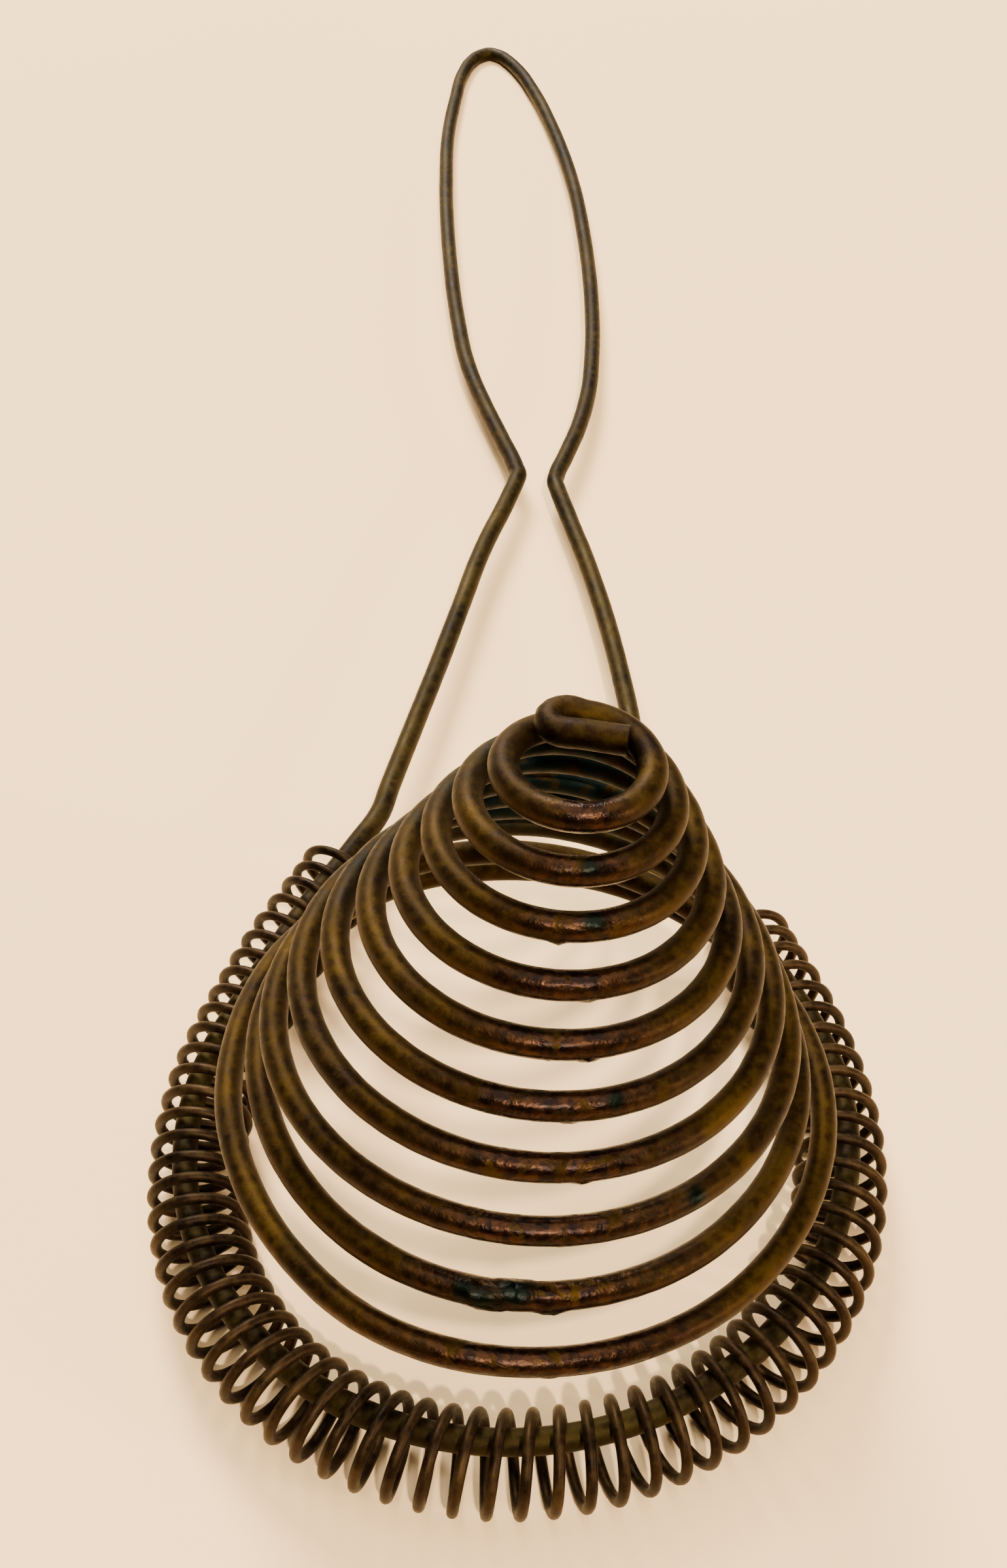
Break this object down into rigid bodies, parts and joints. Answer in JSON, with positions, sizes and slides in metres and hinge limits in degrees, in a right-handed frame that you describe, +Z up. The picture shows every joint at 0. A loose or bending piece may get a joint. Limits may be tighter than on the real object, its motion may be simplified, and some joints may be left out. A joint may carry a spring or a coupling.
{
  "type": "spring whisk",
  "caption": "All-wire kitchen whisk: a long handle loop, a teardrop rim threaded with a loose wire coil, and a cone-shaped spring standing on the rim.",
  "frame": {"origin": "on the table under the middle of the whisk's outline, lying as it rests on its rim coil and handle tip", "axes": "+Y along the handle towards its tip, +Z up from the table, the cone spring standing up, +X to the right seen from the head"},
  "size_m": [0.0719, 0.2918, 0.0621],
  "materials": {
    "frame_wire": "old olive-brown patina, semi-matte",
    "cone_wire": "old olive-gold patina with dark glossy stains, satin",
    "coil_wire": "dark grey-brown patina, satin"
  },
  "bodies": {
    "frame": {"frame_wire": "frame_wire"},
    "turn_01": {"cone_turn_01": "cone_wire"},
    "turn_02": {"cone_turn_02": "cone_wire"},
    "turn_03": {"cone_turn_03": "cone_wire"},
    "turn_04": {"cone_turn_04": "cone_wire"},
    "turn_05": {"cone_turn_05": "cone_wire"},
    "turn_06": {"cone_turn_06": "cone_wire"},
    "turn_07": {"cone_turn_07": "cone_wire"},
    "turn_08": {"cone_turn_08": "cone_wire"},
    "turn_09": {"cone_turn_09": "cone_wire"},
    "rim_coil": {"rim_coil": "coil_wire"}
  },
  "joints": [
    {"name": "turn_01_press", "type": "slide", "parent": "frame", "child": "turn_01", "axis": [-0.1221, -0.046, -0.9915], "range_m": [0, 0.0013], "stiffness_N_per_m": 900},
    {"name": "turn_02_press", "type": "slide", "parent": "turn_01", "child": "turn_02", "axis": [-0.1221, -0.046, -0.9915], "range_m": [0, 0.002], "stiffness_N_per_m": 900},
    {"name": "turn_03_press", "type": "slide", "parent": "turn_02", "child": "turn_03", "axis": [-0.1221, -0.046, -0.9915], "range_m": [0, 0.002], "stiffness_N_per_m": 900},
    {"name": "turn_04_press", "type": "slide", "parent": "turn_03", "child": "turn_04", "axis": [-0.1221, -0.046, -0.9915], "range_m": [0, 0.002], "stiffness_N_per_m": 900},
    {"name": "turn_05_press", "type": "slide", "parent": "turn_04", "child": "turn_05", "axis": [-0.1221, -0.046, -0.9915], "range_m": [0, 0.002], "stiffness_N_per_m": 900},
    {"name": "turn_06_press", "type": "slide", "parent": "turn_05", "child": "turn_06", "axis": [-0.1221, -0.046, -0.9915], "range_m": [0, 0.002], "stiffness_N_per_m": 900},
    {"name": "turn_07_press", "type": "slide", "parent": "turn_06", "child": "turn_07", "axis": [-0.1221, -0.046, -0.9915], "range_m": [0, 0.0018], "stiffness_N_per_m": 900},
    {"name": "turn_08_press", "type": "slide", "parent": "turn_07", "child": "turn_08", "axis": [-0.1221, -0.046, -0.9915], "range_m": [0, 0.0016], "stiffness_N_per_m": 900},
    {"name": "turn_09_press", "type": "slide", "parent": "turn_08", "child": "turn_09", "axis": [-0.1221, -0.046, -0.9915], "range_m": [0, 0.0013], "stiffness_N_per_m": 900},
    {"name": "rim_coil_slip", "type": "hinge", "parent": "frame", "child": "rim_coil", "pos_m": [0, -0.10775, 0], "axis": [0, 0, 1], "range_deg": [-1.2, 1.2]}
  ],
  "couplings": [
    {"joint": "turn_02_press", "follows": "turn_01_press", "ratio": 1.5384},
    {"joint": "turn_03_press", "follows": "turn_01_press", "ratio": 1.5384},
    {"joint": "turn_04_press", "follows": "turn_01_press", "ratio": 1.5384},
    {"joint": "turn_05_press", "follows": "turn_01_press", "ratio": 1.5384},
    {"joint": "turn_06_press", "follows": "turn_01_press", "ratio": 1.5384},
    {"joint": "turn_07_press", "follows": "turn_01_press", "ratio": 1.3846},
    {"joint": "turn_08_press", "follows": "turn_01_press", "ratio": 1.2307},
    {"joint": "turn_09_press", "follows": "turn_01_press", "ratio": 1}
  ]
}
